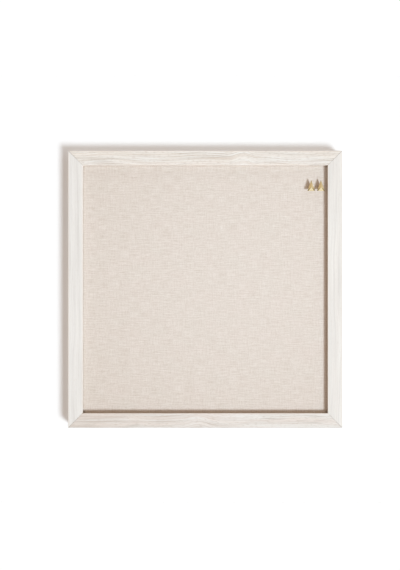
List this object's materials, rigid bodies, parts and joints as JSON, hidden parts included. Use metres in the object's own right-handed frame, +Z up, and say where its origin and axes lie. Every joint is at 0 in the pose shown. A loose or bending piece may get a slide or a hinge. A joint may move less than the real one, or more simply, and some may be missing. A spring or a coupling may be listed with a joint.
{
  "type": "bulletin board",
  "caption": "Near-square linen-covered cork bulletin board in a mitred whitewashed oak frame, with faceted brass push pins and D-ring hangers on its back.",
  "frame": {"origin": "middle of the board, on the wall's surface, where the bumpers' rear faces lie", "axes": "+X to the right of the board seen from its front, +Y from its front into the wall, +Z up the board"},
  "size_m": [0.4524, 0.0307, 0.4572],
  "materials": {
    "oak": "matte",
    "linen": "matte",
    "cork": "matte",
    "hardboard": "satin",
    "steel": "satin",
    "brass": "polished",
    "rubber": "matte"
  },
  "bodies": {
    "board": {"top_rail": "oak", "bottom_rail": "oak", "left_stile": "oak", "right_stile": "oak", "v_nail_top_right_outer": "steel", "v_nail_top_right_inner": "steel", "v_nail_top_left_outer": "steel", "v_nail_top_left_inner": "steel", "v_nail_bottom_left_outer": "steel", "v_nail_bottom_left_inner": "steel", "v_nail_bottom_right_outer": "steel", "v_nail_bottom_right_inner": "steel", "linen_cover": "linen", "cork_core": "cork", "backing_board": "hardboard", "retaining_point_top_1": "steel", "retaining_point_top_2": "steel", "retaining_point_top_3": "steel", "retaining_point_left_1": "steel", "retaining_point_left_2": "steel", "retaining_point_left_3": "steel", "retaining_point_bottom_1": "steel", "retaining_point_bottom_2": "steel", "retaining_point_bottom_3": "steel", "retaining_point_right_1": "steel", "retaining_point_right_2": "steel", "retaining_point_right_3": "steel", "hanger_strap_left": "steel", "hanger_strap_right": "steel", "hanger_screw_left_upper": "steel", "hanger_screw_left_lower": "steel", "hanger_screw_right_upper": "steel", "hanger_screw_right_lower": "steel", "bumper_left": "rubber", "bumper_right": "rubber"},
    "left_pin": {"pin_head_left": "brass", "pin_needle_left": "steel"},
    "right_pin": {"pin_head_right": "brass", "pin_needle_right": "steel"},
    "left_ring": {"d_ring_left": "steel"},
    "right_ring": {"d_ring_right": "steel"}
  },
  "joints": [
    {"name": "left_pin_pull", "type": "slide", "parent": "board", "child": "left_pin", "axis": [0, -1, 0], "range_m": [0, 0.02]},
    {"name": "right_pin_pull", "type": "slide", "parent": "board", "child": "right_pin", "axis": [0, -1, 0], "range_m": [0, 0.02]},
    {"name": "left_ring_swing", "type": "hinge", "parent": "board", "child": "left_ring", "pos_m": [-0.2178, -0.0021, 0.1286], "axis": [1, 0, 0], "range_deg": [0, 180]},
    {"name": "right_ring_swing", "type": "hinge", "parent": "board", "child": "right_ring", "pos_m": [0.2178, -0.0021, 0.1286], "axis": [1, 0, 0], "range_deg": [0, 180]}
  ]
}
